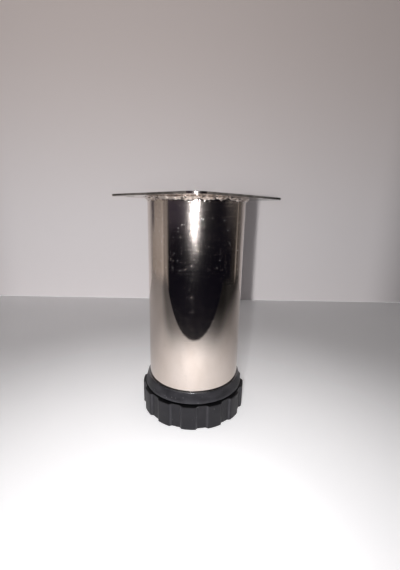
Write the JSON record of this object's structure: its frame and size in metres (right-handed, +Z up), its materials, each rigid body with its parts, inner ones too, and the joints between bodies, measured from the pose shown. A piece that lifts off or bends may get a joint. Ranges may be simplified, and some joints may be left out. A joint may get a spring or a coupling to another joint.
{
  "type": "adjustable cabinet leg",
  "caption": "Adjustable cabinet leg: bright plated tube welded under a square screw-on plate, with a black plastic end plug and a fluted black screw foot for levelling.",
  "frame": {"origin": "on the leg's axis, at the foot's lower face", "axes": "+Z up along the leg, X and Y along the plate's edges"},
  "size_m": [0.065, 0.065, 0.116],
  "materials": {
    "plated_steel": "bright plate with fine pits and light handling haze",
    "zinc_steel": "bright zinc",
    "black_plastic": "fine moulded grain"
  },
  "bodies": {
    "leg": {"mounting_plate": "plated_steel", "leg_tube": "plated_steel", "weld_bead": "plated_steel", "end_plug": "black_plastic", "captive_nut": "zinc_steel"},
    "spindle": {"adjuster_spindle": "zinc_steel"},
    "foot": {"foot_knob": "black_plastic"}
  },
  "joints": [
    {"name": "spindle_travel", "type": "slide", "parent": "leg", "child": "spindle", "axis": [0, 0, -1], "range_m": [-0.0008, 0.0151]},
    {"name": "foot_turn", "type": "hinge", "parent": "spindle", "child": "foot", "pos_m": [0, 0, 0.0045], "axis": [0, 0, -1], "range_deg": [-180, 3600]}
  ],
  "couplings": [
    {"joint": "spindle_travel", "follows": "foot_turn", "m_per_rad": 0.00023873}
  ]
}
